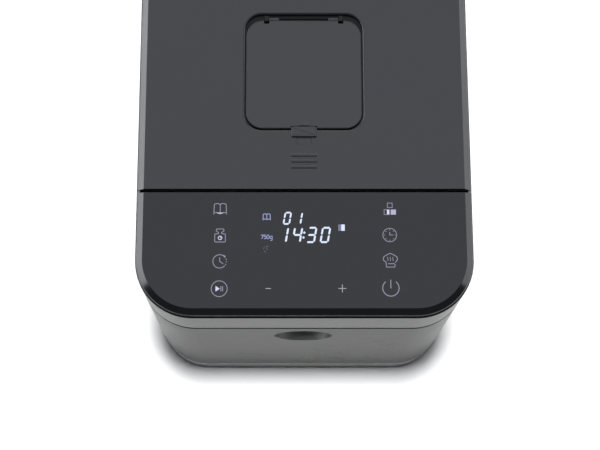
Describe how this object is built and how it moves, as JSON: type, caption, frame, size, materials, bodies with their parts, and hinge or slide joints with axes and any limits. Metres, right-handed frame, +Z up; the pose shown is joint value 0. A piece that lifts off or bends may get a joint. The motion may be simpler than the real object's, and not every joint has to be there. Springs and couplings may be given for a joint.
{
  "type": "bread machine",
  "caption": "Slim upright bread machine with a touch panel, a rear-hinged lid holding an ingredient dispenser, and a lift-out pan with a belt-driven kneading paddle.",
  "frame": {"origin": "middle of the footprint, on the surface that the feet stand on", "axes": "+Z up, -Y towards the front with the control panel, +X to the right seen from the front"},
  "size_m": [0.252, 0.35, 0.2795],
  "materials": {
    "champagne_steel": "fine metallic satin",
    "band_metal": "metallic satin",
    "lid_plastic": "satin",
    "panel_glass": "gloss",
    "base_plastic": "fine matt",
    "dark_plastic": "fine matt",
    "rubber": "matt",
    "silicone": "matt",
    "steel_sheet": "rolled",
    "turned_steel": "turned",
    "nonstick": "speckled non-stick coating",
    "cast_aluminium": "die-cast",
    "element_metal": "oxidised",
    "bronze": "sintered",
    "circuit_board": "lacquered",
    "display_glass": "gloss",
    "nylon": "moulded"
  },
  "bodies": {
    "housing": {"base_tray": "base_plastic", "foot_front_left": "rubber", "foot_front_right": "rubber", "foot_rear_left": "rubber", "foot_rear_right": "rubber", "base_screw_front_left": "turned_steel", "base_screw_front_right": "turned_steel", "base_screw_rear_left": "turned_steel", "base_screw_rear_right": "turned_steel", "body_wrap": "champagne_steel", "scoop_cup": "champagne_steel", "cord_inlet": "dark_plastic", "joint_collar": "dark_plastic", "upper_frame": "band_metal", "control_panel": "panel_glass", "touch_board": "circuit_board", "display_module": "display_glass", "rear_deck": "lid_plastic", "hinge_bracket_left": "steel_sheet", "hinge_bracket_right": "steel_sheet", "hinge_pin_left": "turned_steel", "hinge_pin_right": "turned_steel", "baking_chamber": "steel_sheet", "chamber_support_left": "steel_sheet", "chamber_support_right": "steel_sheet", "heating_element": "element_metal", "temperature_probe": "turned_steel", "thermal_fuse": "nylon", "pan_seat": "cast_aluminium", "shaft_housing": "cast_aluminium", "shaft_bearing": "bronze", "motor": "steel_sheet", "motor_bracket": "steel_sheet", "motor_capacitor": "nylon", "power_board": "circuit_board", "drive_belt": "rubber"},
    "lid": {"lid_cover": "lid_plastic", "lid_frame": "dark_plastic", "lid_liner": "steel_sheet", "lid_seal": "silicone", "dispenser_box": "dark_plastic", "solenoid": "steel_sheet", "flap_hinge_pin": "turned_steel"},
    "flap": {"dispenser_flap": "lid_plastic", "flap_seal": "silicone"},
    "latch": {"flap_latch": "lid_plastic"},
    "plunger": {"solenoid_plunger": "turned_steel"},
    "dispenser_door": {"trapdoor": "dark_plastic"},
    "drive": {"drive_shaft": "turned_steel", "large_pulley": "nylon", "drive_coupling": "cast_aluminium"},
    "motor_rotor": {"motor_shaft": "turned_steel", "motor_pulley": "nylon"},
    "pan": {"bread_pan": "nonstick", "pan_base": "cast_aluminium", "pan_bearing": "cast_aluminium"},
    "bail": {"bail_handle": "turned_steel"},
    "paddle": {"pan_shaft": "turned_steel", "pan_coupling": "cast_aluminium", "kneading_paddle": "nonstick"}
  },
  "joints": [
    {"name": "lid_hinge", "type": "hinge", "parent": "housing", "child": "lid", "pos_m": [0, 0.15, 0.2713], "axis": [-1, 0, 0], "range_deg": [0, 95]},
    {"name": "flap_hinge", "type": "hinge", "parent": "lid", "child": "flap", "pos_m": [0, 0.0568, 0.2747], "axis": [-1, 0, 0], "range_deg": [0, 100]},
    {"name": "trapdoor_hinge", "type": "hinge", "parent": "lid", "child": "dispenser_door", "pos_m": [0, 0.056, 0.244], "axis": [1, 0, 0], "range_deg": [0, 70]},
    {"name": "latch_slide", "type": "slide", "parent": "lid", "child": "latch", "axis": [0, -1, 0], "range_m": [0, 0.005], "stiffness_N_per_m": 80},
    {"name": "plunger_slide", "type": "slide", "parent": "lid", "child": "plunger", "axis": [1, 0, 0], "range_m": [0, 0.004], "stiffness_N_per_m": 60},
    {"name": "drive_spin", "type": "hinge", "parent": "housing", "child": "drive", "pos_m": [0, 0.031, 0.04], "axis": [0, 0, 1], "continuous": true},
    {"name": "motor_spin", "type": "hinge", "parent": "housing", "child": "motor_rotor", "pos_m": [0, -0.118, 0.04], "axis": [0, 0, 1], "continuous": true},
    {"name": "pan_lift", "type": "slide", "parent": "housing", "child": "pan", "axis": [0, 0, 1], "range_m": [0, 0.02]},
    {"name": "bail_hinge", "type": "hinge", "parent": "pan", "child": "bail", "pos_m": [0, 0.031, 0.219], "axis": [-1, 0, 0], "range_deg": [0, 28]},
    {"name": "paddle_spin", "type": "hinge", "parent": "pan", "child": "paddle", "pos_m": [0, 0.031, 0.08], "axis": [0, 0, 1], "continuous": true}
  ],
  "couplings": [
    {"joint": "motor_spin", "follows": "drive_spin", "ratio": 5},
    {"joint": "paddle_spin", "follows": "drive_spin", "ratio": 1}
  ]
}
